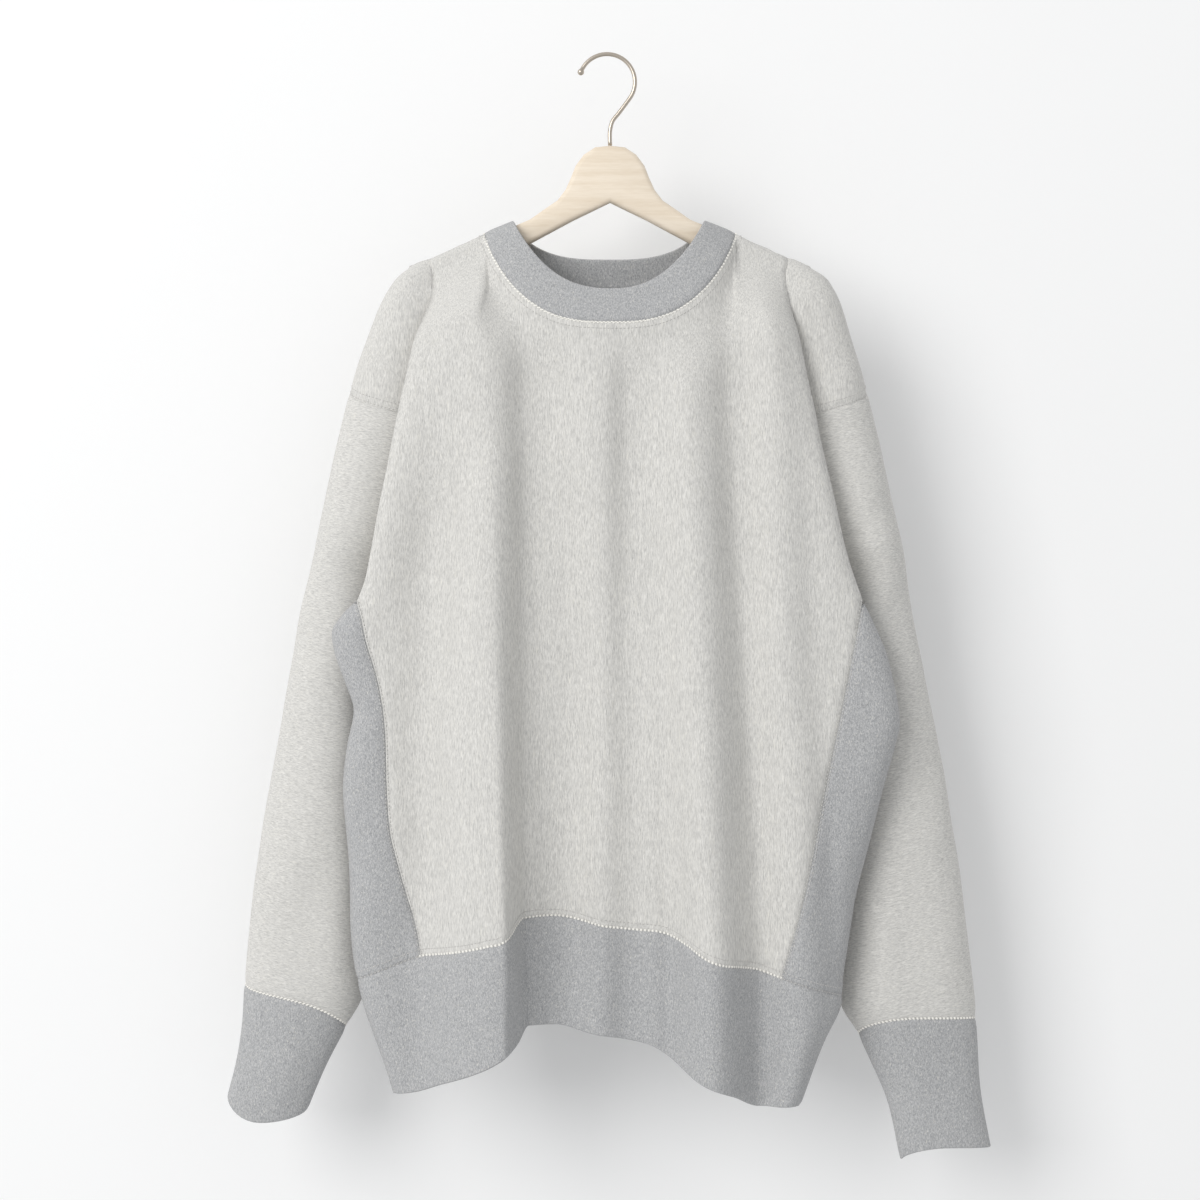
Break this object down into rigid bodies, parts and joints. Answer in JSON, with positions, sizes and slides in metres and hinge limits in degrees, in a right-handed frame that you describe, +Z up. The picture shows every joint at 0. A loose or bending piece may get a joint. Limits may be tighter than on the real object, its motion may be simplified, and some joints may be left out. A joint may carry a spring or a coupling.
{
  "type": "crewneck sweatshirt on a wooden hanger",
  "caption": "Crewneck sweatshirt with drop-shoulder sleeves, rib neckband, side panels, cuffs and hem band, hung open on a thin wooden hanger with a wire hook.",
  "frame": {"origin": "inner top of the hook's bend, where the hanger rests on a rail", "axes": "+X to the viewer's right along the shoulders, +Y from the front to the back (the front faces -Y), +Z up"},
  "size_m": [0.613, 0.1163, 0.8862],
  "materials": {
    "body_fleece": "matt heathered jersey, light oatmeal grey",
    "rib_knit": "matt fine rib knit, mid heather grey",
    "wood": "pale beech, satin",
    "hook_metal": "satin, warm nickel tone"
  },
  "bodies": {
    "root": {"front": "body_fleece", "back": "body_fleece", "sleeve_left": "body_fleece", "sleeve_right": "body_fleece", "side_panel_left": "rib_knit", "side_panel_right": "rib_knit", "neckband": "rib_knit", "hem_band": "rib_knit", "cuff_left": "rib_knit", "cuff_right": "rib_knit", "hanger_body": "wood", "hanger_hook": "hook_metal"}
  },
  "joints": []
}
